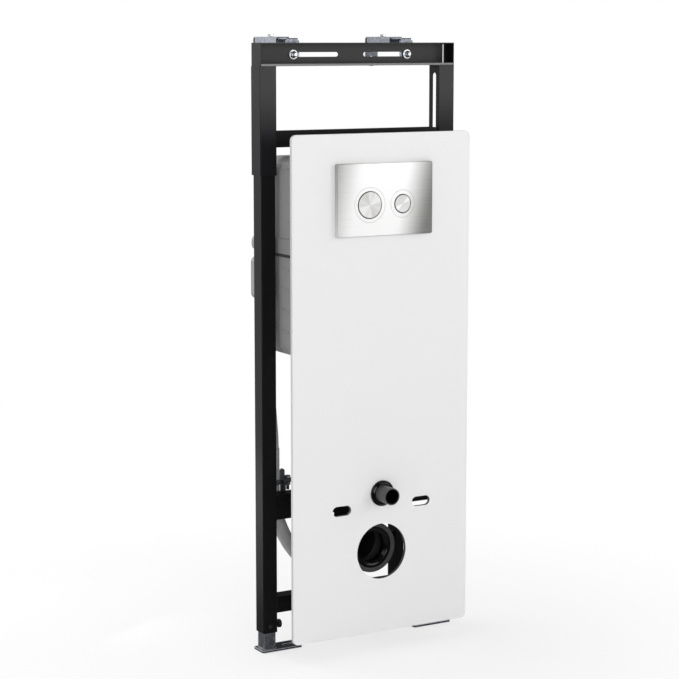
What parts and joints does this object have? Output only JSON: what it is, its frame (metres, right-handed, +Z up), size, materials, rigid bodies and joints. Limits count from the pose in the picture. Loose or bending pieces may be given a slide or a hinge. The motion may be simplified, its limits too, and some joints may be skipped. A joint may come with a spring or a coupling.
{
  "type": "wall hung toilet frame",
  "caption": "Steel in-wall frame on telescoping feet with a concealed cistern, white front panel, dual flush plate, flush stub, waste socket and wall brackets.",
  "frame": {"origin": "on the floor, midway between the anchor slots of the two foot plates", "axes": "+X right seen from the front, +Y back to the wall, +Z up"},
  "size_m": [0.498, 0.3395, 1.3663],
  "materials": {
    "black_powder_coat": "fine matt powder coat",
    "galvanised_steel": "zinc plated",
    "brushed_plate": "brushed",
    "grey_plastic": "satin moulded plastic",
    "pale_grey_plastic": "satin moulded plastic",
    "black_plastic": "glossy moulded plastic",
    "white_panel": "smooth satin white",
    "rubber": "soft matt rubber"
  },
  "bodies": {
    "feet": {"leg_tubes": "galvanised_steel", "foot_plates": "galvanised_steel"},
    "top_section": {"sleeves": "black_powder_coat", "top_beam": "black_powder_coat", "beam_end_plates": "black_powder_coat"},
    "large_button": {"large_button": "brushed_plate"},
    "small_button": {"small_button": "brushed_plate"},
    "left_bracket": {"left_bracket_angle": "galvanised_steel", "left_clamp_screw": "galvanised_steel", "left_web_bolt": "galvanised_steel"},
    "left_arm": {"left_wall_arm": "galvanised_steel"},
    "right_bracket": {"right_bracket_angle": "galvanised_steel", "right_clamp_screw": "galvanised_steel", "right_web_bolt": "galvanised_steel"},
    "right_arm": {"right_wall_arm": "galvanised_steel"},
    "frame": {"main_posts": "black_powder_coat", "lock_screws": "black_powder_coat", "lower_crossbeam": "black_powder_coat", "middle_crossbeam": "black_powder_coat", "upper_crossbeam": "black_powder_coat", "height_bolts": "galvanised_steel", "support_rails": "black_powder_coat", "saddle_plate": "black_powder_coat", "front_panel": "white_panel", "panel_spacers": "black_powder_coat", "flush_plate": "brushed_plate", "button_guide": "grey_plastic", "service_box": "grey_plastic", "cistern_front_shell": "grey_plastic", "cistern_back_shell": "grey_plastic", "cistern_seal": "rubber", "cistern_band": "grey_plastic", "cistern_lugs": "grey_plastic", "rear_blocks": "pale_grey_plastic", "flush_pipe": "grey_plastic", "flush_stub": "black_plastic", "flush_collar": "black_plastic", "waste_connector": "black_plastic", "waste_seal": "rubber", "waste_bend": "black_plastic", "waste_clamp": "black_powder_coat", "conduit": "grey_plastic", "conduit_clamp": "black_powder_coat", "conduit_clamp_screw": "galvanised_steel"}
  },
  "joints": [
    {"name": "height_adjustment", "type": "slide", "parent": "feet", "child": "frame", "axis": [0, 0, 1], "range_m": [-0.03, 0.17]},
    {"name": "top_extension", "type": "slide", "parent": "frame", "child": "top_section", "axis": [0, 0, 1], "range_m": [-0.1, 0.05]},
    {"name": "large_button_press", "type": "slide", "parent": "frame", "child": "large_button", "axis": [0, 1, 0], "range_m": [0, 0.004], "stiffness_N_per_m": 1500, "springref_m": -0.001},
    {"name": "small_button_press", "type": "slide", "parent": "frame", "child": "small_button", "axis": [0, 1, 0], "range_m": [0, 0.004], "stiffness_N_per_m": 1500, "springref_m": -0.001},
    {"name": "left_bracket_shift", "type": "slide", "parent": "top_section", "child": "left_bracket", "axis": [1, 0, 0], "range_m": [-0.005, 0.1]},
    {"name": "left_arm_reach", "type": "slide", "parent": "left_bracket", "child": "left_arm", "axis": [0, 1, 0], "range_m": [-0.035, 0.04]},
    {"name": "right_bracket_shift", "type": "slide", "parent": "top_section", "child": "right_bracket", "axis": [1, 0, 0], "range_m": [-0.1, 0.005]},
    {"name": "right_arm_reach", "type": "slide", "parent": "right_bracket", "child": "right_arm", "axis": [0, 1, 0], "range_m": [-0.035, 0.04]}
  ]
}
